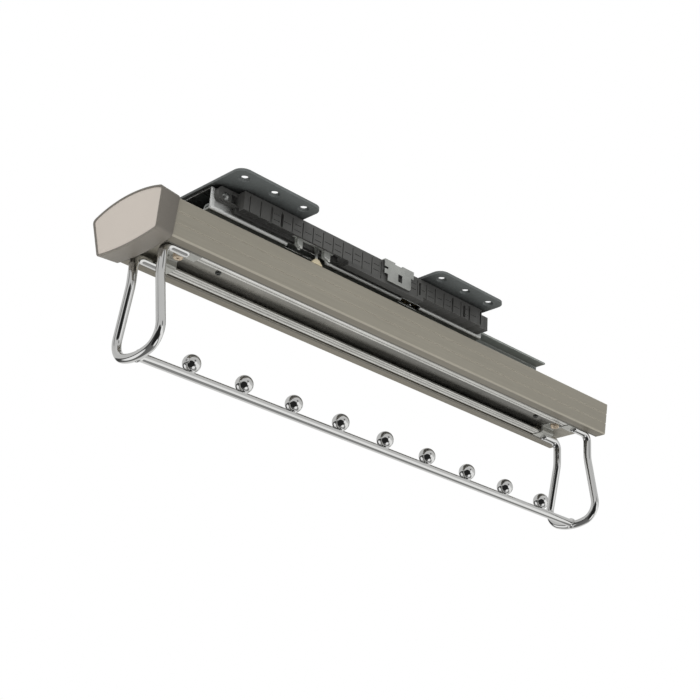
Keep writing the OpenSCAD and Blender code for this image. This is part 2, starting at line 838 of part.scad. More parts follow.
// Extruded channel with a closed box above and an open pocket below
module channel() {
    color("#89877a") difference() {
        along_y(seam_y, channel_len) difference() {
            channel_outer();
            channel_room(channel_t, channel_h - pocket_h - web_t, 0);
            channel_room(channel_h - pocket_h, channel_h - channel_t, 0);
            translate([-slot_w / 2, z_open - over]) square([slot_w, channel_t + 2 * over]);
            for (side = [-1, 1], share = groove_shares)
                translate([side * channel_half(share * channel_h), z_channel - share * channel_h])
                    circle(r = groove_r, $fn = 24);
        }
        for (k = [0:runner_screw_count - 1])
            translate([0, runner_screw_y(k), z_channel - channel_t - over])
                cylinder(d = screw_d + 2 * seat_gap, h = channel_t + 2 * over);
        for (k = [0:track_screw_count - 1])
            translate([0, track_screw_y(k), z_web - over])
                cylinder(d = screw_d + 2 * seat_gap, h = web_t + 2 * over);
        for (end = [-1, 1])
            translate([0, frame_shift + end * (plate_out + gold_back), z_web - over])
                cylinder(d = screw_d + 2 * seat_gap, h = web_t + 2 * over);
    }
}

// Half chord and rise give the radius of an arc
function arc_r(half_chord, rise) = (half_chord * half_chord + rise * rise) / (2 * rise);

// Points of an arc, both ends included unless a trim leaves them out
function arc_points(c, r, from, to, n, trim = 0) =
    [for (k = [trim:n - trim]) c + r * [cos(from + (to - from) * k / n), sin(from + (to - from) * k / n)]];

// Outline of the cap, drawn in by a gap: two leaning sides, an arched top and a bowed bottom
module cap_outline(gap) {
    e = cap_corner_r - gap;
    arch_r = arc_r(cap_top_x, cap_arch);
    bow_r = arc_r(cap_bottom_x, cap_bow);
    arch_c = cap_top_z + cap_arch - arch_r;
    bow_c = cap_bottom_z - cap_bow + bow_r;
    side = atan2(cap_bottom_x - cap_top_x, cap_top_z - cap_bottom_z);
    top = atan2(cap_top_z - arch_c, cap_top_x);
    bottom = atan2(cap_bottom_z - bow_c, cap_bottom_x);
    polygon(concat(
        arc_points([cap_bottom_x, cap_bottom_z], e, bottom, side, cap_corner_steps),
        arc_points([cap_top_x, cap_top_z], e, side, top, cap_corner_steps),
        arc_points([0, arch_c], arch_r + e, top, 180 - top, cap_arc_steps, 1),
        arc_points([-cap_top_x, cap_top_z], e, 180 - top, 180 - side, cap_corner_steps),
        arc_points([-cap_bottom_x, cap_bottom_z], e, 180 - side, 180 - bottom, cap_corner_steps),
        arc_points([0, bow_c], bow_r + e, 180 - bottom, 360 + bottom, cap_arc_steps, 1)
    ));
}

// Slab behind the leaning front face of the cap, between two depths
module cap_slab(from, to) {
    translate([0, seam_y - cap_depth, z_open]) rotate([cap_angle, 0, 0])
        translate([-channel_w, from, -channel_h]) cube([2 * channel_w, to - from, 4 * channel_h]);
}

// Shape of the cap outline from the leaning front face to the seam, between two depths
module cap_block(gap, from, to) {
    front = seam_y - cap_depth - 3 * cap_lean;
    intersection() {
        along_y(front, seam_y - front) cap_outline(gap);
        cap_slab(from, to);
    }
}

// Moulded cap with a seat for the insert, a hollow back and a spigot in the channel
module front_cap() {
    reach = cap_depth + 3 * cap_lean;
    box_bottom = channel_h - pocket_h - web_t;
    color("#7a746b") difference() {
        union() {
            cap_block(0, 0, 2 * reach);
            along_y(seam_y - over, spigot_len + over)
                channel_room(channel_t + slide_gap, box_bottom - slide_gap, slide_gap);
        }
        cap_block(cap_rim, -over, insert_set + insert_t);
        intersection() {
            along_y(seam_y - reach, reach + spigot_len + over) channel_room(
                channel_t + slide_gap + spigot_t, box_bottom - slide_gap - spigot_t, spigot_t + slide_gap
            );
            cap_slab(insert_set + insert_t + cap_front_t, 3 * reach);
        }
        intersection() {
            along_y(seam_y - reach, reach + over)
                channel_room(channel_h - pocket_h, channel_h - channel_t, 0);
            cap_slab(insert_set + insert_t + cap_front_t, 3 * reach);
        }
    }
    color("#7a746b") for (side = [-1, 1])
        translate([
            side * channel_w / 6 - rib_t / 2, seam_y - cap_depth + insert_t + cap_front_t,
            z_channel - box_bottom + slide_gap + spigot_t / 2
        ]) cube([
            rib_t, cap_depth - insert_t - cap_front_t + spigot_len,
            box_bottom - channel_t - 2 * slide_gap - spigot_t
        ]);
}

module cap_insert() {
    color("#c4bbb1") cap_block(cap_rim + insert_gap, insert_set, insert_set + insert_t);
}

function track_screw_y(k) = track_front + track_screw_front
    + k * track_screw_span / (track_screw_count - 1);

// Steel track with rolled lips, screwed under the inner web
module hanger_track() {
    color("#a9aba7") difference() {
        along_y(track_front, track_len) difference() {
            sheet_profile([
                [track_w / 2 - track_t / 2, z_web - track_t / 2],
                [track_w / 2 - track_t / 2, z_open + track_t],
                [track_w / 2 - track_lip + track_t / 2, z_open + track_t],
                [track_w / 2 - track_lip + track_t / 2, z_open + track_rim_h + track_t / 2]
            ], track_t, track_bend_r);
            for (side = [-1, 1])
                translate([side * (track_w / 2 - track_lip + bead_in), z_open + track_t / 2])
                    circle(r = bead_r, $fn = 24);
        }
        for (k = [0:track_screw_count - 1])
            translate([0, track_screw_y(k), z_web - track_t - over])
                cylinder(d = screw_d + 2 * seat_gap, h = track_t + 2 * over);
    }
}

module track_screws() {
    color("#6d6e6b")
    for (k = [0:track_screw_count - 1])
        translate([0, track_screw_y(k), z_web - track_t])
            pan_screw(track_head_d, track_head_h, screw_len);
}

// End plate in a hat section, whose wings carry the stubs of a loop
module end_plate(end) {
    y = end > 0 ? frame_shift + plate_out : frame_shift - plate_out - plate_len;
    difference() {
        along_y(y, plate_len) sheet_profile([
            [plate_mid_w / 2 - plate_t / 2, z_web - plate_t / 2],
            [plate_mid_w / 2 - plate_t / 2, stub_z],
            [wing_x, stub_z]
        ], plate_t, bend_r);
        translate([0, frame_shift + end * (plate_out + gold_back), z_web - plate_t - over])
            cylinder(d = screw_d + 2 * seat_gap, h = plate_t + 2 * over);
        for (side = [-1, 1]) translate([
            side * hole_small_x, frame_shift + end * (plate_out + plate_len - hole_small_back),
            z_web - plate_t - over
        ]) cylinder(d = hole_small_d, h = plate_t + 2 * over);
    }
}

module front_end_plate() {
    color("#b5b6b0") end_plate(-1);
}

module rear_end_plate() {
    color("#b5b6b0") end_plate(1);
}

module plate_screws() {
    color("#b59a55")
    for (end = [-1, 1])
        translate([0, frame_shift + end * (plate_out + gold_back), z_web - plate_t])
            pan_screw(gold_head_d, gold_head_h, screw_len);
}

// Part of a ring of wire in the plane of the loop
module wire_arc(r, start, angle, thick) {
    rotate([90, 0, 0]) rotate([0, 0, start]) rotate_extrude(angle = angle)
        translate([r, 0]) circle(r = thick);
}

// Straight run of wire up from the origin, a little longer at the ends named
module wire_run(length, below, above) {
    translate([0, 0, -below]) cylinder(r = run_r, h = length + below + above);
}

// Right side of a loop, its plane at Y 0 and its stub axis at Z 0, the stub towards +Y
module loop_side() {
    translate([neck_x, stub_bend_r, 0]) rotate([-90, 0, 0])
        wire_run(loop_spacing / 2 - stub_end - stub_bend_r, run_in, 0);
    translate([neck_x, stub_bend_r, -stub_bend_r]) rotate([90, 0, 90]) rotate([0, 0, 90])
        rotate_extrude(angle = 90) translate([stub_bend_r, 0]) circle(r = rod_r);
    translate([neck_x, 0, neck_z]) wire_run(-stub_bend_r - neck_z, run_in, run_in);
    translate([neck_x + neck_bend_r, 0, neck_z]) wire_arc(neck_bend_r, 180, flare, rod_r);
    translate([corner_top_x, 0, corner_top_z]) rotate([0, -flare, 0]) wire_run(leg_len, run_in, run_in);
    translate([corner_x, 0, corner_z])
        wire_arc(corner_bend_r, belly_half - 90, 90 + flare - belly_half, rod_r);
}

// Arc at the bottom of a loop
module loop_belly() {
    half = belly_half + run_in / belly_r * 180 / PI;
    translate([0, 0, belly_z]) wire_arc(belly_r, -90 - half, 2 * half, run_r);
}

// Wire loop with slots in its stubs for the wings of the end plate
module wire_loop() {
    difference() {
        union() {
            for (side = [0, 1]) mirror([side, 0, 0]) loop_side();
            loop_belly();
        }
        translate([
            -wing_x - over, loop_spacing / 2 - plate_out - plate_len - seat_gap,
            -plate_t / 2 - seat_gap
        ]) cube([2 * wing_x + 2 * over, slot_len + over, plate_t + 2 * seat_gap]);
    }
}

module front_loop() {
    color("#d9dad8") translate([0, frame_shift - loop_spacing / 2, stub_z]) wire_loop();
}

module rear_loop() {
    color("#d9dad8") translate([0, frame_shift + loop_spacing / 2, stub_z]) mirror([0, 1, 0]) wire_loop();
}

function knob_y(k) = frame_shift + knob_shift + (k - (knob_count - 1) / 2) * knob_pitch;

// Bar between the loops, coped on their wire and drilled for the studs
module hanger_bar() {
    color("#d9dad8") difference() {
        translate([0, frame_shift - loop_spacing / 2, bar_z]) rotate([-90, 0, 0])
            cylinder(r = rod_r, h = loop_spacing);
        for (end = [-1, 1])
            translate([0, frame_shift + end * loop_spacing / 2, stub_z + belly_z]) rotate([90, 0, 0])
                rotate([0, 0, -90 - belly_half]) rotate_extrude(angle = 2 * belly_half)
                    translate([belly_r, 0]) circle(r = run_r + seat_gap);
        for (end = [-1, 1])
            translate([-rod_d, frame_shift + end * (loop_spacing + rod_d) / 2 - rod_d / 2, bar_z - rod_d])
                cube([2 * rod_d, rod_d, 2 * rod_d]);
        for (k = [0:knob_count - 1])
            translate([0, knob_y(k), bar_z]) cylinder(d = stud_d + 2 * seat_gap, h = rod_d);
    }
}

module hanger_knobs() {
    color("#dcdddb")
    for (k = [0:knob_count - 1]) translate([0, knob_y(k), 0]) {
        difference() {
            translate([0, 0, knob_z]) sphere(d = knob_d);
            translate([0, -knob_d, bar_z]) rotate([-90, 0, 0])
                cylinder(r = rod_r + seat_gap, h = 2 * knob_d);
        }
        translate([0, 0, bar_z + seat_gap]) cylinder(d = stud_d, h = knob_z - bar_z);
    }
}

// Foot on top of the channel that carries the activator blade
module activator_foot() {
    color("#cfc3a6") difference() {
        along_x(blade_x - foot_w / 2, foot_w) translate([activator_y, z_channel]) polygon([
            [-foot_len / 2, 0], [foot_len / 2, 0], [foot_top_len / 2, foot_h], [-foot_top_len / 2, foot_h]
        ]);
        translate([
            blade_x - blade_t / 2 - seat_gap, activator_y - blade_stem / 2 - seat_gap,
            z_channel + foot_h - blade_root
        ]) cube([blade_t + 2 * seat_gap, blade_stem + 2 * seat_gap, blade_root + over]);
    }
}

module activator_blade() {
    base = z_channel + foot_h - blade_root;
    color("#a7a9a5") along_x(blade_x - blade_t / 2, blade_t) translate([activator_y, 0]) polygon([
        [-blade_stem / 2, base], [blade_stem / 2, base],
        [blade_stem / 2, blade_top - blade_fork_h], [blade_arm, blade_top - blade_fork_h / 3],
        [blade_arm, blade_top], [blade_arm - blade_stem / 2, blade_top],
        [0, blade_top - blade_fork_h / 2],
        [-blade_arm + blade_stem / 2, blade_top], [-blade_arm, blade_top],
        [-blade_arm, blade_top - blade_fork_h / 3], [-blade_stem / 2, blade_top - blade_fork_h]
    ]);
}

front_bracket();
rear_bracket();
cabinet_rail();
bracket_rivets();
damper_housing();
housing_rivet();
spring_clip();
damper_cylinder();
closing_spring();
closing_catch();
damper_rod();
ball_cages();
bearing_balls();
runner();
runner_screws();
channel();
front_cap();
cap_insert();
hanger_track();
track_screws();
front_end_plate();
rear_end_plate();
plate_screws();
front_loop();
rear_loop();
hanger_bar();
hanger_knobs();
activator_foot();
activator_blade();
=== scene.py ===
import math

import bpy
import bmesh
from mathutils import Matrix, Vector


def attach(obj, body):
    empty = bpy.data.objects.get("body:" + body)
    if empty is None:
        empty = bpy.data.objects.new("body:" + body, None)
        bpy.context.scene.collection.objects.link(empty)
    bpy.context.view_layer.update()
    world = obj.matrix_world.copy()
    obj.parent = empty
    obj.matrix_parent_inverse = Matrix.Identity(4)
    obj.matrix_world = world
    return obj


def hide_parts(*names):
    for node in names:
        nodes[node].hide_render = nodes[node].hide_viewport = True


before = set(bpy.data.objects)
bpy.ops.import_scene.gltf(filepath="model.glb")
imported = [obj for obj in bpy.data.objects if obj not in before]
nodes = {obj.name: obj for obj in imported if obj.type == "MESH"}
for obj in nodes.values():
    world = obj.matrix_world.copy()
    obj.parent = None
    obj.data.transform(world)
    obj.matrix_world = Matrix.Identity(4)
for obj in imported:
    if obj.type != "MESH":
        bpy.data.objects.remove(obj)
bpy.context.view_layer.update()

# Everything is in metres and in the frame of the CAD model: the brackets' top is Z 0, the rail pulls out
# towards -Y, and the photograph shows the side of +X
WHITE = (1.0, 1.0, 1.0, 1.0)


def srgb(r, g, b):
    """A colour given as 0 to 255 screen values."""
    def lin(v):
        v /= 255
        return v / 12.92 if v <= 0.04045 else ((v + 0.055) / 1.055) ** 2.4
    return (lin(r), lin(g), lin(b), 1.0)


def shade(c, k):
    return (c[0] * k, c[1] * k, c[2] * k, 1.0)


def added(name, data):
    """An object in the scene's collection."""
    ob = bpy.data.objects.new(name, data)
    bpy.context.scene.collection.objects.link(ob)
    return ob


class Tree:
    """A node tree, with short calls for the nodes that this script uses."""

    def __init__(self, tree):
        self.t = tree

    def feed(self, v, socket):
        """Links an output to a socket, or sets the socket to a value."""
        if hasattr(v, "links"):
            self.t.links.new(v, socket)
        else:
            socket.default_value = v

    def node(self, kind, **values):
        """A new node. Names with a capital are its inputs, the others its settings."""
        n = self.t.nodes.new("ShaderNode" + kind)
        for name, v in values.items():
            if name[0].isupper():
                self.feed(v, n.inputs[name.replace("_", " ")])
            else:
                setattr(n, name, v)
        return n

    def pair(self, n, slots, a, b):
        """Feeds two sockets of a node and gives its first output."""
        self.feed(a, n.inputs[slots[0]])
        self.feed(b, n.inputs[slots[1]])
        return n.outputs[0]

    def calc(self, kind, a, b=0.0):
        return self.pair(self.node("Math", operation=kind), (0, 1), a, b)

    def times(self, a, b):
        return self.calc("MULTIPLY", a, b)

    def shader_mix(self, fac, a, b):
        return self.pair(self.node("MixShader", Fac=fac), (1, 2), a, b)

    def dot(self, a, b):
        n = self.node("VectorMath", operation="DOT_PRODUCT")
        self.pair(n, (0, 1), a, b)
        return n.outputs["Value"]

    def grey(self, v, lo, hi, ends=(0.35, 0.65), curve="LINEAR"):
        """Runs from lo to hi as a value passes from the first of two ends to the second."""
        n = self.node("MapRange", interpolation_type=curve, Value=v, From_Min=ends[0], From_Max=ends[1],
                      To_Min=lo, To_Max=hi)
        return n.outputs["Result"]

    def ramp(self, fac, stops):
        n = self.node("ValToRGB", Fac=fac)
        e = n.color_ramp.elements
        while len(e) < len(stops):
            e.new(0.5)
        for i, (at, col) in enumerate(stops):
            e[i].position = at
            e[i].color = col
        return n.outputs["Color"]

    def mix(self, fac, a, b, mode="MIX"):
        n = self.node("Mix", data_type="RGBA", blend_type=mode)
        for name, v in (("Factor", fac), ("A", a), ("B", b)):
            self.feed(v, next(s for s in n.inputs if s.name == name and s.enabled))
        return next(s for s in n.outputs if s.enabled)

    def tinted(self, a, b):
        """One colour times another, or times a grey level."""
        return self.mix(1.0, a, b, "MULTIPLY")

    def seen(self):
        """One for rays from the camera, also after they passed through something clear."""
        rays = self.node("LightPath").outputs
        return self.calc("MAXIMUM", rays["Is Camera Ray"], rays["Is Transmission Ray"])


def meshed(bm, name):
    """A mesh made from a bmesh, which is freed."""
    mesh = bpy.data.meshes.new(name)
    bm.to_mesh(mesh)
    bm.free()
    return mesh


# Half the width over which a mask turns, and the samples of the nodes that look about them
MASK_SOFT = 0.0002
NEAR_SAMPLES = 6
# Shares of open surroundings at which a crevice is full and at which it ends
CREVICE_ENDS = (0.55, 0.95)
# Cosines between the softened and the true normal on an edge, which is lightened for wear and as painted
# highlight, and on a flat face
EDGE_WEAR_AND_HIGHLIGHT_ENDS = (0.93, 0.999)
# The bulge between ribs: a low power makes it flat in the middle and steep at the ribs
PILLOW_POWER, PILLOW_STRENGTH, PILLOW_DEPTH = 0.35, 0.55, 0.0009


class Mat(Tree):
    """A material around one Principled shader."""

    def __init__(self, name):
        self.m = bpy.data.materials.new(name)
        self.m.use_nodes = True
        super().__init__(self.m.node_tree)
        self.place = self.node("TexCoord").outputs["Object"]

    def surface(self, **values):
        """Feeds inputs of the Principled shader."""
        for name, v in values.items():
            self.feed(v, self.t.nodes["Principled BSDF"].inputs[name.replace("_", " ")])

    def noise(self, scale, detail, rough=0.55, stretch=(1, 1, 1)):
        place = self.node("Mapping", Vector=self.place, Scale=stretch).outputs["Vector"]
        n = self.node("TexNoise", Vector=place, Scale=scale, Detail=detail, Roughness=rough)
        return n.outputs["Fac"]

    def cloudy(self, fac, col, lo, hi, ends=(0.3, 0.7)):
        """A colour that a pattern makes darker and lighter."""
        return self.ramp(fac, [(ends[0], shade(col, lo)), (ends[1], shade(col, hi))])

    def axis(self, letter, size=False):
        """One coordinate of the object, or its size."""
        out = self.node("SeparateXYZ", Vector=self.place).outputs[letter]
        return self.calc("ABSOLUTE", out) if size else out

    def below(self, v, level):
        """One where a value lies below a level, zero above it."""
        return self.grey(v, 1.0, 0.0, (level - MASK_SOFT, level + MASK_SOFT))

    def above(self, v, level):
        return self.grey(v, 0.0, 1.0, (level - MASK_SOFT, level + MASK_SOFT))

    def between(self, v, lo, hi):
        return self.times(self.above(v, lo), self.below(v, hi))

    def crevice(self, distance, local=True):
        """One in grooves and inner corners, of the piece alone or of all that stands about it."""
        n = self.node("AmbientOcclusion", samples=NEAR_SAMPLES, only_local=local, Distance=distance)
        return self.grey(n.outputs["AO"], 1.0, 0.0, CREVICE_ENDS)

    def soft(self, radius):
        """Normals that run softly round every edge."""
        return self.node("Bevel", samples=NEAR_SAMPLES, Radius=radius).outputs["Normal"]

    def edges(self, radius=0.0005):
        """One on edges, which are lightened for wear and as painted highlight, zero on flat faces."""
        true_normal = self.node("NewGeometry").outputs["Normal"]
        return self.grey(self.dot(self.soft(radius), true_normal), 1.0, 0.0, EDGE_WEAR_AND_HIGHLIGHT_ENDS)

    def bump(self, height, strength, normal=None, distance=0.0004):
        """Fine relief, laid on a normal of the kinds above where one is given."""
        n = self.node("Bump", Strength=strength, Distance=distance, Height=height)
        if normal:
            self.feed(normal, n.inputs["Normal"])
        self.surface(Normal=n.outputs["Normal"])

    def pillows(self, start, pitch):
        """Normals of faces that bulge a little between ribs along Y."""
        wave = self.calc("PINGPONG", self.calc("SUBTRACT", self.axis("Y"), start), pitch / 2)
        height = self.calc("POWER", self.calc("DIVIDE", wave, pitch / 2), PILLOW_POWER)
        n = self.node("Bump", Strength=PILLOW_STRENGTH, Distance=PILLOW_DEPTH, Height=height)
        return n.outputs["Normal"]


# Where painted light and shade begin and end on the CAD model
HOUSING_UNDER_Z, HOUSING_FADE_Y = -0.0168, (-0.04, 0.02)
CAP_UNDER_Z, CAP_FADE_Y = (-0.0572, -0.0558), (-0.186, -0.173)
RAIL_INSIDE_X, RAIL_INSIDE_Z = 0.026, (-0.0182, -0.0028)
RAIL_WALL_X, RAIL_BEND_Z, RAIL_BEND_FADE_Y = 0.0264, (-0.0192, -0.0178), (-0.06, 0.0)
RAIL_EDGE_Y, RAIL_LIT_Y = (-0.1364, -0.1334), (-0.128, -0.116)
RUNNER_SHADE_Z = (-0.0195, -0.0155)
TRACK_WEB_Z, TRACK_WEB_FADE_Y = (-0.0545, -0.0525), (-0.08, 0.12)
LIP_LINE_X, LIP_EDGE_X, LIP_EDGE_FADE_Y = (0.0152, 0.0166), (0.0184, 0.021), (-0.02, 0.12)
CHANNEL_UNDER_Z, CHANNEL_RIM_X, CHANNEL_GAP_SHADE_X = -0.0547, 0.0304, (0.0205, 0.0229)

# Colours of that painted light, shade and shadow
HOUSING_PAINTED_SHADE = srgb(24, 24, 23)
RAIL_SHADOW, RAIL_INSIDE_SHADE, RAIL_PAINTED_LIGHT = srgb(110, 110, 106), srgb(30, 30, 29), srgb(238, 239, 237)
RUNNER_PAINTED_SHADE = srgb(80, 84, 81)
LIP_GROOVE_SHADE, LIP_PAINTED_HIGHLIGHT = srgb(84, 83, 79), srgb(252, 252, 250)
WEB_PAINTED_SHADE = (0.42, 0.41, 0.385, 1)
CHANNEL_UNDER_SHADE = (0.66, 0.64, 0.61, 1)


def housing_painted_shade(m, face):
    """Painted shade on the underside, darker towards the nose."""
    under = m.times(m.below(m.axis("Z"), HOUSING_UNDER_Z), m.grey(m.axis("Y"), 0.7, 0.0, HOUSING_FADE_Y))
    return m.mix(under, face, HOUSING_PAINTED_SHADE)


def cap_painted_light(m, face):
    """Paler below as painted light, and darker towards the seam as painted shade."""
    under = m.grey(m.axis("Z"), 1.35, 1.0, CAP_UNDER_Z)
    back = m.grey(m.axis("Y"), 1.0, 0.84, CAP_FADE_Y)
    return m.tinted(face, m.times(under, back))


def rail_painted_light(m, face, metal):
    """Painted shadow, painted shade inside, painted light and highlights at the front and lower bend."""
    side, y, z = m.axis("X", True), m.axis("Y"), m.axis("Z")
    # Painted shadow where other pieces stand near
    face = m.mix(m.crevice(distance=0.014, local=False), face, RAIL_SHADOW)
    inside = m.times(m.below(side, RAIL_INSIDE_X), m.between(z, *RAIL_INSIDE_Z))
    # Painted shade inside the rail
    face = m.mix(m.times(inside, 0.9), face, RAIL_INSIDE_SHADE)
    wall = m.above(side, RAIL_WALL_X)
    # Painted highlight on the front edge, and painted light on the wall's front, out of the housing's
    # shadow
    lit_edge = m.times(wall, m.grey(y, 0.8, 0.0, RAIL_EDGE_Y))
    lit_wall = m.times(wall, m.grey(y, 0.45, 0.0, RAIL_LIT_Y))
    # Painted highlight on the lower bend
    bend = m.times(wall, m.grey(z, 1.0, 0.0, RAIL_BEND_Z))
    bend_highlight = m.times(bend, m.grey(y, 0.95, 0.5, RAIL_BEND_FADE_Y))
    pale = m.calc("MAXIMUM", m.calc("MAXIMUM", lit_edge, lit_wall), bend_highlight)
    # The painted light also takes metal away, so that it shows pale
    m.surface(Metallic=m.grey(pale, metal, metal * 0.2, (0.0, 1.0)))
    return m.mix(pale, face, RAIL_PAINTED_LIGHT)


def runner_painted_shade(m, face, metal):
    """Painted shade, darker towards the top."""
    return m.mix(m.grey(m.axis("Z"), 0.0, 0.7, RUNNER_SHADE_Z), face, RUNNER_PAINTED_SHADE)


def track_painted_light(m, face, metal):
    """Painted shade on the web in the pocket; on each lip a painted shade line at its roll and a painted
    highlight at its edge.
    """
    side, y = m.axis("X", True), m.axis("Y")
    web = m.grey(m.axis("Z"), 0.0, 1.0, TRACK_WEB_Z)
    lips = m.calc("SUBTRACT", 1.0, web)
    # Painted shade along the shallow groove of each lip
    line = m.times(m.between(side, *LIP_LINE_X), lips)
    face = m.mix(m.times(line, 0.75), face, LIP_GROOVE_SHADE)
    # Painted highlight along each lip's outer edge, fading towards the rear
    edge = m.times(m.between(side, *LIP_EDGE_X), lips)
    face = m.mix(m.times(edge, m.grey(y, 0.9, 0.0, LIP_EDGE_FADE_Y)), face, LIP_PAINTED_HIGHLIGHT)
    # Painted shade on the web, darker towards the rear
    dull = m.tinted(m.tinted(face, WEB_PAINTED_SHADE), m.grey(y, 1.0, 0.5, TRACK_WEB_FADE_Y))
    return m.mix(web, face, dull)


def plastic(name, col, grain=900.0, vary=0.1, rough=(0.42, 0.58), bump=0.12, radius=0.0004,
            ribs=None, light_and_shade=None):
    """Moulded plastic: fine spark grain, faint flow marks, edges lighter for wear and as painted highlight.
    """
    m = Mat(name)
    flow = m.noise(14, detail=4, rough=0.6, stretch=(1, 0.25, 1))
    base = m.cloudy(flow, col, 1 - vary, 1 + vary)
    # Painted light and shade, where a function for them is given
    if light_and_shade:
        base = light_and_shade(m, base)
    spark = m.noise(grain, detail=2)
    # Lighter edges: wear and painted highlight
    rubbed_and_lit = shade(col, 1.3)
    m.surface(Base_Color=m.mix(m.edges(), base, rubbed_and_lit), Roughness=m.grey(spark, *rough))
    m.bump(spark, bump, m.pillows(*ribs) if ribs else m.soft(radius))
    return m


def painted(name, col):
    """Powder-coated steel: orange-peel bump, a little dust, painted shade near other pieces, lighter edges
    for wear and as highlight.
    """
    m = Mat(name)
    dust = m.noise(26, detail=5, rough=0.62)
    rubbed_and_lit, dark = shade(col, 1.5), shade(col, 0.08)
    # Painted shade where other pieces stand near
    base = m.mix(m.crevice(distance=0.022, local=False), m.cloudy(dust, col, 0.9, 1.12), dark)
    peel = m.noise(420, detail=2)
    m.surface(Base_Color=m.mix(m.edges(), base, rubbed_and_lit), Roughness=m.grey(peel, 0.36, 0.52))
    m.bump(peel, 0.1, m.soft(radius=0.0004))
    return m


def sheet_steel(name, col, rough, metal=0.85, spangle=150.0, radius=0.0004, light_and_shade=None):
    """Zinc-plated sheet: rolling lines along the pull, crystal patches, dull spots."""
    m = Mat(name)
    m.surface(Metallic=metal)
    crystals = m.node("TexVoronoi", Scale=spangle, Vector=m.place).outputs["Color"]
    crystals = m.node("RGBToBW", Color=crystals).outputs["Val"]
    tint = m.cloudy(crystals, WHITE, 0.86, 1.0, (0.2, 0.8))
    spots = m.noise(24, detail=5, rough=0.6)
    base = m.cloudy(spots, col, 0.86, 1.1, (0.32, 0.68))
    face = m.mix(0.5, base, m.tinted(base, tint))
    # Painted light and shade, where a function for them is given
    if light_and_shade:
        face = light_and_shade(m, face, metal)
    lines = m.noise(160, detail=3, rough=0.5, stretch=(1, 0.12, 1))
    # Lighter edges: wear and painted highlight
    rubbed_and_lit = shade(col, 1.15)
    m.surface(Base_Color=m.mix(m.edges(), face, rubbed_and_lit), Roughness=m.grey(lines, *rough))
    m.bump(lines, 0.06, m.soft(radius))
    return m


def chrome(name, col, rough):
    """Polished chrome with faint handling haze."""
    m = Mat(name)
    haze = m.noise(60, detail=4, rough=0.65)
    m.surface(Metallic=1.0, Base_Color=m.cloudy(haze, col, 0.97, 1.0), Roughness=m.grey(haze, *rough))
    m.bump(m.noise(500, detail=2), 0.015, distance=0.0003)
    return m


def extruded(name, col):
    """Satin anodised aluminium: fine die lines along the extrusion, painted light in the grooves, and
    underneath painted shade, a painted highlight along its rim and painted shade along the slot's edges."""
    m = Mat(name)
    groove, rubbed_and_lit, dark = shade(col, 1.35), shade(col, 1.4), shade(col, 0.3)
    lines = m.noise(900, detail=2, rough=0.5, stretch=(1, 0.015, 1))
    cloud = m.noise(12, detail=4, rough=0.6, stretch=(1, 0.4, 1))
    body = m.tinted(m.cloudy(cloud, col, 0.94, 1.06), m.cloudy(lines, WHITE, 0.9, 1.0))
    # Painted light in the grooves, which lifts the shade that falls in them
    body = m.mix(m.crevice(distance=0.0009), body, groove)
    side = m.axis("X", True)
    low = m.below(m.axis("Z"), CHANNEL_UNDER_Z)
    out = m.above(side, CHANNEL_RIM_X)
    # Painted shade on the underside
    under = m.times(low, m.calc("SUBTRACT", 1.0, out))
    body = m.mix(under, body, m.tinted(body, CHANNEL_UNDER_SHADE))
    # Painted highlight along the lower outer corner
    body = m.mix(m.times(m.times(low, out), 0.8), body, rubbed_and_lit)
    # Painted shade along the slot's edges, where the gap to the track lies
    body = m.mix(m.times(low, m.between(side, *CHANNEL_GAP_SHADE_X)), body, dark)
    # Lighter edges: wear and painted highlight
    m.surface(Metallic=0.3, Base_Color=m.mix(m.edges(radius=0.0006), body, rubbed_and_lit),
              Roughness=m.grey(lines, 0.34, 0.5))
    m.bump(lines, 0.05, m.soft(radius=0.0004), distance=0.0003)
    return m


# The ribs of the housing: where the first stands along Y, and their pitch
HOUSING_RIBS = (-0.1139, 0.0102)

# Materials by the record's slots
MATS = {
    "bracket_steel": painted("bracket_coat", srgb(96, 100, 99)),
    "rivet_steel": sheet_steel("rivet_zinc", srgb(170, 172, 170), (0.2, 0.34), spangle=600),
    "housing_plastic": plastic("housing_nylon", srgb(80, 80, 78), vary=0.14, ribs=HOUSING_RIBS,
                               light_and_shade=housing_painted_shade),
    "clip_steel": sheet_steel("clip_zinc", srgb(186, 188, 184), (0.24, 0.4), spangle=400),
    "spring_steel": sheet_steel("spring_wire", srgb(140, 142, 140), (0.2, 0.3), spangle=900),
    "cage_steel": sheet_steel("cage_brass", srgb(176, 158, 112), (0.22, 0.36), spangle=500),
    "ball_steel": chrome("ball_polish", srgb(220, 222, 224), (0.04, 0.08)),
    "yellow_zinc": sheet_steel("screw_yellow", srgb(214, 196, 172), (0.2, 0.34), metal=0.6, spangle=700),
    "dark_zinc": sheet_steel("screw_dark", srgb(96, 97, 94), (0.28, 0.42), spangle=700),
    "anodised_aluminium": extruded("channel_bronze", srgb(156, 151, 138)),
    "cap_plastic": plastic("cap_moulding", srgb(116, 111, 103), grain=1100, rough=(0.4, 0.52), bump=0.1,
                           radius=0.0011, light_and_shade=cap_painted_light),
    "insert_plastic": plastic("insert_moulding", srgb(206, 197, 187), grain=1300, vary=0.03,
                              rough=(0.4, 0.55), bump=0.08, radius=0.0007),
    "bright_zinc": sheet_steel("plate_zinc", srgb(178, 178, 172), (0.2, 0.34), metal=0.6, spangle=500),
    "chrome_wire": chrome("wire_chrome", srgb(224, 224, 223), (0.045, 0.1)),
    "foot_plastic": plastic("foot_acetal", srgb(206, 194, 164), vary=0.05),
}

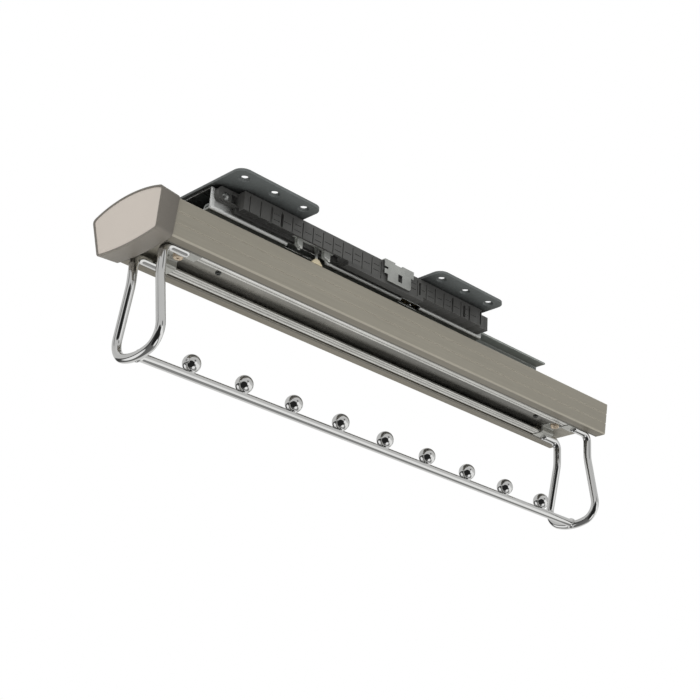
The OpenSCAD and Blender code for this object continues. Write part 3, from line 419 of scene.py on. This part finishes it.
# Materials of single nodes, which come before those of their slots
OWN = {
    "hanger_track": sheet_steel("track_zinc", srgb(214, 213, 208), (0.16, 0.3), metal=0.75, spangle=220,
                                light_and_shade=track_painted_light),
    "cabinet_rail": sheet_steel("rail_zinc", srgb(212, 214, 212), (0.2, 0.36), spangle=180, radius=0.002,
                                light_and_shade=rail_painted_light),
    "runner": sheet_steel("runner_zinc", srgb(214, 220, 215), (0.34, 0.52), metal=0.15,
                          light_and_shade=runner_painted_shade),
    "closing_catch": sheet_steel("catch_zinc", srgb(226, 228, 222), (0.24, 0.38), metal=0.4, spangle=500),
}
for name, ob in nodes.items():
    for s in ob.material_slots:
        s.material = (OWN.get(name) or MATS[s.material.name.split(".")[0]]).m


def stand_in(name, mesh, node, body, slot):
    """A piece that takes the place of a CAD node."""
    ob = added(name, mesh)
    mesh.materials.clear()
    mesh.materials.append(MATS[slot].m)
    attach(ob, body)
    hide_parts(node)


# Damper housing: the CAD body, its outer face drawn in, which lets the clip stand over it
DRAW_FROM_X, DRAW_OVER, DRAW_BY = 0.0385, 0.002, 0.0014
# Bounds for cuts that lie clear of the housing
INNER_X, OUTER_X, FRONT_Y, REAR_Y, UNDER_Z = 0.02, 0.06, -0.2, 0.3, -0.0225
# Its lower edge is cut back to EDGE_Z, which leaves the lower bend of the fixed rail in sight. Behind the
# catch its outer wall stays deep, and the cut inside that wall runs a little past the stretch and higher
EDGE_Z = -0.0171
DEEP_Y, DEEP_WALL_X = (-0.0155, 0.0665), 0.034
OVER_Y, OVER_Z = 0.001, 0.0006
# The stepped block at its rear end: what is cut off it, each from its inner, front and lower corner, and
# the groove in front of it
BLOCK_END_Y, BLOCK_TOP_Z = 0.16, 0.0
BLOCK_STEPS = ((0.0383, 0.1358, -0.03), (0.034, 0.1368, -0.0052))
BLOCK_GROOVE = ((0.0368, 0.1336, -0.0160), (OUTER_X, 0.1352, -0.0045))
# Slits that are wider than the lines between the ribs
SLITS_Y, SLIT_HALF, SLIT_X, SLIT_Z = (-0.0832, 0.0623, 0.1146), 0.0012, 0.0378, (-0.0164, -0.0058)


def cutter(lo, hi):
    """A box between two corners."""
    bm = bmesh.new()
    bmesh.ops.create_cube(bm, size=1)
    for v in bm.verts:
        v.co = Vector(lo[i] if v.co[i] < 0 else hi[i] for i in range(3))
    return added("cut", meshed(bm, "cut"))


def cut_mesh(mesh, boxes):
    """A copy of a mesh with boxes taken out of it."""
    ob = added("work", mesh)
    tools = [cutter(lo, hi) for lo, hi in boxes]
    for tool in tools:
        mod = ob.modifiers.new("cut", "BOOLEAN")
        mod.operation = "DIFFERENCE"
        mod.solver = "EXACT"
        mod.object = tool
    done = bpy.data.meshes.new_from_object(ob.evaluated_get(bpy.context.evaluated_depsgraph_get()))
    for o in tools + [ob]:
        bpy.data.objects.remove(o)
    return done


mesh = nodes["damper_housing"].data.copy()
for v in mesh.vertices:
    if v.co.x > DRAW_FROM_X:
        v.co.x -= DRAW_BY * min(1, (v.co.x - DRAW_FROM_X) / DRAW_OVER)
deep_front, deep_rear = DEEP_Y
boxes = [
    ((INNER_X, FRONT_Y, UNDER_Z), (OUTER_X, deep_front, EDGE_Z)),
    ((INNER_X, deep_rear, UNDER_Z), (OUTER_X, REAR_Y, EDGE_Z)),
    ((INNER_X, deep_front - OVER_Y, UNDER_Z), (DEEP_WALL_X, deep_rear + OVER_Y, EDGE_Z + OVER_Z)),
]
boxes += [(corner, (OUTER_X, BLOCK_END_Y, BLOCK_TOP_Z)) for corner in BLOCK_STEPS]
boxes.append(BLOCK_GROOVE)
for y in SLITS_Y:
    boxes.append(((SLIT_X, y - SLIT_HALF, SLIT_Z[0]), (OUTER_X, y + SLIT_HALF, SLIT_Z[1])))
stand_in("damper_housing_moulded", cut_mesh(mesh, boxes), "damper_housing", "mounting", "housing_plastic")

# The channel's ends and its lower face
CHANNEL_Y, CHANNEL_LOW_Z = (-0.171, 0.315), -0.056

# Cap and insert: the CAD bodies, widened from the channel's end to the front, most at the shoulders, with a
# flatter arch
CAP_DEPTH = 0.0185
CAP_LOW_Z, SHOULDER_Z = -0.0578, -0.0262
FLARE_LOW, FLARE_HIGH = 0.082, 0.136
SHOULDER_DROP, ARCH_LOST = 0.0012, 0.26


def flared(mesh):
    """A copy of a mesh that widens from the seam to the front."""
    mesh = mesh.copy()
    for v in mesh.vertices:
        out = max(0, (CHANNEL_Y[0] - v.co.y) / CAP_DEPTH)
        up = min(1, max(0, (v.co.z - CAP_LOW_Z) / (SHOULDER_Z - CAP_LOW_Z)))
        arch = max(0, v.co.z - SHOULDER_Z)
        v.co.x *= 1 + out * (FLARE_LOW + (FLARE_HIGH - FLARE_LOW) * up)
        v.co.z -= out * (SHOULDER_DROP * up + ARCH_LOST * arch)
    return mesh


for node, slot in (("front_cap", "cap_plastic"), ("cap_insert", "insert_plastic")):
    stand_in(node + "_moulded", flared(nodes[node].data), node, "carriage", slot)

# The chrome parts, drawn anew with round sections and fine faces. A loop's stubs lie in the end plates,
# its two sides bend down into straight necks, flare out by an angle and meet in a round belly
ROD_R = 0.0034
ROD_SIDES, ROD_CHAMFER = 40, 0.0006
FRONT_INSET, REAR_INSET = 0.0047, 0.0067
LOOP_Y = (CHANNEL_Y[0] + FRONT_INSET, CHANNEL_Y[1] - REAR_INSET)
STUB_Z, STUB_LEN, STUB_R = CHANNEL_LOW_Z + ROD_R / 4, 0.0208, 0.007
NECK_X, NECK_LEN, NECK_R, FLARE = 0.0168, 0.022, 0.040, math.radians(11)
BELLY_X, DROP, CORNER_R = 0.0247, 0.0805, 0.015
STUB_STEPS, BEND_STEPS, NECK_STEPS = 6, 12, 8
TURN_STEPS, LEG_STEPS, CORNER_STEPS, BELLY_STEPS = 10, 10, 22, 14

# The bar, which stops BAR_END short of each loop's plane and widens there into a weld fillet, given as
# radii at distances from that plane
BAR_OVER_BELLY, BAR_END = 0.001, 0.0012
BAR_Z = STUB_Z - DROP + BAR_OVER_BELLY
WELD = ((0.0046, 0.0026), (0.0041, 0.0032), (0.0037, 0.004), (ROD_R, 0.0052))
BAR_STEPS, LATHE_SIDES = 24, 48

# The balls, each cut off at an angle from its lower pole by a turned neck that sinks into the bar. The
# neck's foot and waist are shares of its radius and depths under the pole
KNOB_R, KNOB_SINK, KNOB_PITCH, KNOB_COUNT = 0.0068, 0.0008, 0.048, 9
KNOB_SHIFT_Y = 0.0015
KNOB_NECK = math.radians(26)
KNOB_NECK_FOOT, KNOB_NECK_WAIST = (1.02, 0.0014), (0.96, 0.0002)
KNOB_STEPS = 30


def arc(cx, cz, r, a, b, n):
    steps = (a + (b - a) * k / n for k in range(n + 1))
    return [(cx + r * math.cos(t), cz + r * math.sin(t)) for t in steps]


def loop_half():
    """Right half of a loop's centre line, from its top down to the middle of its belly, as x and z."""
    neck_z = -NECK_LEN + NECK_R * math.tan(FLARE / 2)
    flare_x = NECK_X + NECK_R * (1 - math.cos(FLARE))
    flare_z = neck_z - NECK_R * math.sin(FLARE)
    cx = BELLY_X - CORNER_R
    top_x = cx + CORNER_R * math.cos(FLARE)
    top_z = flare_z - (top_x - flare_x) / math.tan(FLARE)
    cz = top_z - CORNER_R * math.sin(FLARE)
    h = cz + DROP
    belly_r = (cx * cx + h * h - CORNER_R * CORNER_R) / (2 * (h - CORNER_R))
    belly_z = belly_r - DROP
    half = math.atan2(cx, belly_z - cz)
    pts = [(NECK_X, -STUB_R + (neck_z + STUB_R) * k / NECK_STEPS) for k in range(NECK_STEPS)]
    pts += arc(NECK_X + NECK_R, neck_z, NECK_R, math.pi, math.pi + FLARE, TURN_STEPS)
    leg = (k / LEG_STEPS for k in range(1, LEG_STEPS))
    pts += [(flare_x + (top_x - flare_x) * t, flare_z + (top_z - flare_z) * t) for t in leg]
    pts += arc(cx, cz, CORNER_R, FLARE, half - math.pi / 2, CORNER_STEPS)
    pts += arc(0, belly_z, belly_r, half - math.pi / 2, -math.pi / 2, BELLY_STEPS)[1:]
    return pts


def loop_path(y, way):
    """Whole centre line of a loop at Y y, its stubs towards way."""
    stub = (STUB_LEN - (STUB_LEN - STUB_R) * k / STUB_STEPS for k in range(STUB_STEPS))
    side = [(NECK_X, y + way * t, 0) for t in stub]
    bend = (math.pi / 2 * k / BEND_STEPS for k in range(BEND_STEPS))
    side += [(NECK_X, y + way * STUB_R * (1 - math.sin(a)), STUB_R * (math.cos(a) - 1)) for a in bend]
    side += [(x, y, z) for x, z in loop_half()]
    whole = side + [(-x, yy, z) for x, yy, z in side[-2::-1]]
    return [Vector((x, yy, z + STUB_Z)) for x, yy, z in whole]


def ring(bm, middle, u, v, r, sides):
    """Vertices on a circle, or one vertex where it has no radius."""
    if r == 0:
        return [bm.verts.new(middle)]
    turns = (2 * math.pi * k / sides for k in range(sides))
    return [bm.verts.new(middle + (u * math.cos(t) + v * math.sin(t)) * r) for t in turns]


def skin(bm, rings):
    """Faces between rings that follow each other: quads, and triangles where a ring is one vertex."""
    for a, b in zip(rings, rings[1:]):
        sides = max(len(a), len(b))
        for k in range(sides):
            q = (k + 1) % sides
            corners = (a[k % len(a)], a[q % len(a)], b[q % len(b)], b[k % len(b)])
            bm.faces.new(tuple(dict.fromkeys(corners)))


def tube(bm, path, r):
    """Sweeps a circle along a path, with a small chamfer at both ends. Each frame follows from the last."""
    last = len(path) - 1
    dirs = [(path[min(last, i + 1)] - path[max(0, i - 1)]).normalized() for i in range(last + 1)]
    u = dirs[0].orthogonal().normalized()
    rings = []
    for i, (c, d) in enumerate(zip(path, dirs)):
        u = (u - d * u.dot(d)).normalized()
        v = d.cross(u)
        if i == 0:
            places = ((c, r - ROD_CHAMFER), (c + d * ROD_CHAMFER, r))
        elif i == last:
            places = ((c - d * ROD_CHAMFER, r), (c, r - ROD_CHAMFER))
        else:
            places = ((c, r),)
        rings += [ring(bm, middle, u, v, rr, ROD_SIDES) for middle, rr in places]
    skin(bm, rings)
    bm.faces.new(rings[0][::-1])
    bm.faces.new(rings[-1])


def lathe(bm, profile, place, turn):
    """Turns a profile of radius and height about an axis; turn brings Z onto that axis."""
    u, v, up = turn.col[0], turn.col[1], turn.col[2]
    skin(bm, [ring(bm, place + up * h, u, v, r, LATHE_SIDES) for r, h in profile])


def chrome_piece(name, bm, node):
    """A smooth piece of polished chrome in the place of a CAD node."""
    bm.normal_update()
    mesh = meshed(bm, name)
    for p in mesh.polygons:
        p.use_smooth = True
    stand_in(name, mesh, node, "carriage", "chrome_wire")


for node, y, way in (("front_loop", LOOP_Y[0], 1), ("rear_loop", LOOP_Y[1], -1)):
    bm = bmesh.new()
    tube(bm, loop_path(y, way), ROD_R)
    chrome_piece(node + "_wire", bm, node)

length = LOOP_Y[1] - LOOP_Y[0]
weld_r = WELD[0][0]
profile = [(0, BAR_END), (weld_r, BAR_END), *WELD]
profile += [(ROD_R, length * k / BAR_STEPS) for k in range(1, BAR_STEPS)]
profile += [(r, length - h) for r, h in WELD[::-1]] + [(weld_r, length - BAR_END), (0, length - BAR_END)]
bm = bmesh.new()
lathe(bm, profile, Vector((0, LOOP_Y[0], BAR_Z)), Matrix.Rotation(-math.pi / 2, 3, "X"))
chrome_piece("hanger_bar_polished", bm, "hanger_bar")

turns = (KNOB_NECK + (math.pi - KNOB_NECK) * k / KNOB_STEPS for k in range(KNOB_STEPS))
ball = [(KNOB_R * math.sin(a), -KNOB_R * math.cos(a)) for a in turns]
neck = [(ball[0][0] * wide, -KNOB_R - down) for wide, down in (KNOB_NECK_FOOT, KNOB_NECK_WAIST)]
profile = [(0, neck[0][1]), *neck, *ball, (0, KNOB_R)]
knob_y = (LOOP_Y[0] + LOOP_Y[1]) / 2 + KNOB_SHIFT_Y
knob_z = BAR_Z + ROD_R + KNOB_R - KNOB_SINK
bm = bmesh.new()
for k in range(KNOB_COUNT):
    place = Vector((0, knob_y + (k - (KNOB_COUNT - 1) / 2) * KNOB_PITCH, knob_z))
    lathe(bm, profile, place, Matrix.Identity(3))
chrome_piece("hanger_knobs_polished", bm, "hanger_knobs")

# Camera, turned and placed as the photograph was taken
RIGHT = (0.697267, 0.714364, 0.059191)
DOWN = (-0.244432, 0.314582, -0.917219)
AHEAD = (-0.673848, 0.625078, 0.393961)
EYE = (0.748948, -0.665503, -0.501718)
cam = bpy.data.cameras.new("camera")
cam.sensor_width = 36
cam.sensor_fit = "HORIZONTAL"
cam.lens = 73.6747
cam.clip_start = 0.05
cam.clip_end = 30
cam_ob = added("camera", cam)
cam_ob.matrix_world = Matrix(
    [[RIGHT[i], -DOWN[i], -AHEAD[i], EYE[i]] for i in range(3)] + [[0, 0, 0, 1]]
)
bpy.context.scene.camera = cam_ob

# Floor, far below the hanging object so that only its soft shadow falls there
PAPER, PAPER_GLOW = (0.9, 0.9, 0.9, 1), 0.36
FLOOR_HALF, FLOOR_PLACE = 40, (0, 0.07, -1.6)


def white_stage(name):
    """Pale paper with a little light of its own for the camera, which keeps the object's soft shadow."""
    m = bpy.data.materials.new(name)
    m.use_nodes = True
    m.node_tree.nodes.clear()
    t = Tree(m.node_tree)
    diffuse = t.node("BsdfDiffuse", Color=PAPER).outputs[0]
    glow = t.node("Emission", Color=WHITE, Strength=t.times(t.seen(), PAPER_GLOW)).outputs[0]
    t.node("OutputMaterial", Surface=t.pair(t.node("AddShader"), (0, 1), diffuse, glow))
    return m


bm = bmesh.new()
bmesh.ops.create_grid(bm, x_segments=1, y_segments=1, size=FLOOR_HALF)
floor = added("floor", meshed(bm, "floor"))
floor.data.materials.append(white_stage("floor_paper"))
floor.location = FLOOR_PLACE
floor.visible_glossy = False

# World: white for the camera, a plain level of light, and for mirrors a studio, pale at the rear and darker
# at the front and sides. Its grey levels go by a ray's height, from -1 straight down to 1 straight up
REAR = ((-1, 0.45), (-0.8, 0.28), (-0.62, 0.24), (-0.55, 0.96), (-0.04, 1.0), (0.06, 0.66), (0.6, 0.6),
        (1, 0.72))
FRONT = ((-1, 0.16), (-0.3, 0.12), (-0.2, 0.06), (0.06, 0.06), (0.13, 0.64), (0.6, 0.6), (1, 0.7))
# The way to the front, and the cosines to it between which the rear's levels give way to the front's
FRONT_SIDE = ((0, -1, 0), -0.42, -0.28)
# Blue for each part of red and green, which warms the greys a little
BLUE_SHARE = 0.99
# What else stands in it: a direction, the cosines where it begins and is full, and its colour
FITTINGS = {
    "photographer": ((0.67, -0.62, -0.42), 0.71, 0.79, (0.02, 0.02, 0.02, 1)),
    "lamp_left": ((-0.737, -0.53, -0.416), 0.93, 0.97, WHITE),
    "lamp_below": ((0.5, 0.14, -0.855), 0.94, 0.975, WHITE),
    "lamp_right": ((0.96, 0.26, -0.04), 0.94, 0.97, WHITE),
    "pale_board": ((-0.674, 0.625, -0.394), 0.8, 0.92, (0.75, 0.75, 0.74, 1)),
    "flag_right": ((0.913, 0.08, 0.39), 0.97, 0.99, (0.16, 0.16, 0.16, 1)),
    "flag_front": ((-0.206, -0.894, 0.39), 0.975, 0.992, (0.2, 0.2, 0.2, 1)),
}
# Strength of the plain light
LIGHT_LEVEL = 0.62

world = bpy.data.worlds.new("studio")
bpy.context.scene.world = world
world.use_nodes = True
world.node_tree.nodes.clear()
w = Tree(world.node_tree)
ray = w.node("TexCoord").outputs["Generated"]
height = w.grey(w.node("SeparateXYZ", Vector=ray).outputs["Z"], 0.0, 1.0, (-1.0, 1.0))


def levels(stops):
    """Grey levels by the height of a ray."""
    return w.ramp(height, [((z + 1) / 2, (v, v, v * BLUE_SHARE, 1)) for z, v in stops])


def toward(direction, start, end):
    """Rises from zero to one as a ray turns to a direction."""
    return w.grey(w.dot(ray, Vector(direction).normalized()), 0.0, 1.0, (start, end), "SMOOTHSTEP")


def sky(colour, strength):
    return w.node("Background", Color=colour, Strength=strength).outputs[0]


studio = w.mix(toward(*FRONT_SIDE), levels(REAR), levels(FRONT))
for direction, start, end, colour in FITTINGS.values():
    studio = w.mix(toward(direction, start, end), studio, colour)
glossy = w.node("LightPath").outputs["Is Glossy Ray"]
unseen = w.shader_mix(glossy, sky(WHITE, LIGHT_LEVEL), sky(studio, 1.0))
w.node("OutputWorld", Surface=w.shader_mix(w.seen(), unseen, sky(WHITE, 1.0)))

# Soft lamps, which mirrors don't show: place, aim, width and height, and power in watts
MIDDLE = (0, 0.07, -0.08)
LAMPS = {
    "key": ((1.3, -0.9, 0.9), MIDDLE, (1.2, 1.2), 9),
    "fill": ((0.1, -1.3, -1.3), MIDDLE, (1.6, 1.2), 8),
    "under": ((0.9, 0.9, -0.9), MIDDLE, (1.0, 1.0), 3),
    "low_front": ((0.1, -0.75, -1.1), (0, -0.18, -0.04), (0.5, 0.5), 2),
    "rim": ((-1.2, 1.1, 0.8), MIDDLE, (1.0, 1.0), 7),
}
for name, (place, aim, size, power) in LAMPS.items():
    lamp = bpy.data.lights.new(name, "AREA")
    lamp.shape = "RECTANGLE"
    lamp.size, lamp.size_y = size
    lamp.energy = power
    ob = added(name, lamp)
    ob.location = place
    ob.rotation_euler = (Vector(aim) - Vector(place)).to_track_quat("-Z", "Y").to_euler()
    ob.visible_glossy = False

bpy.context.scene.view_settings.view_transform = "Standard"
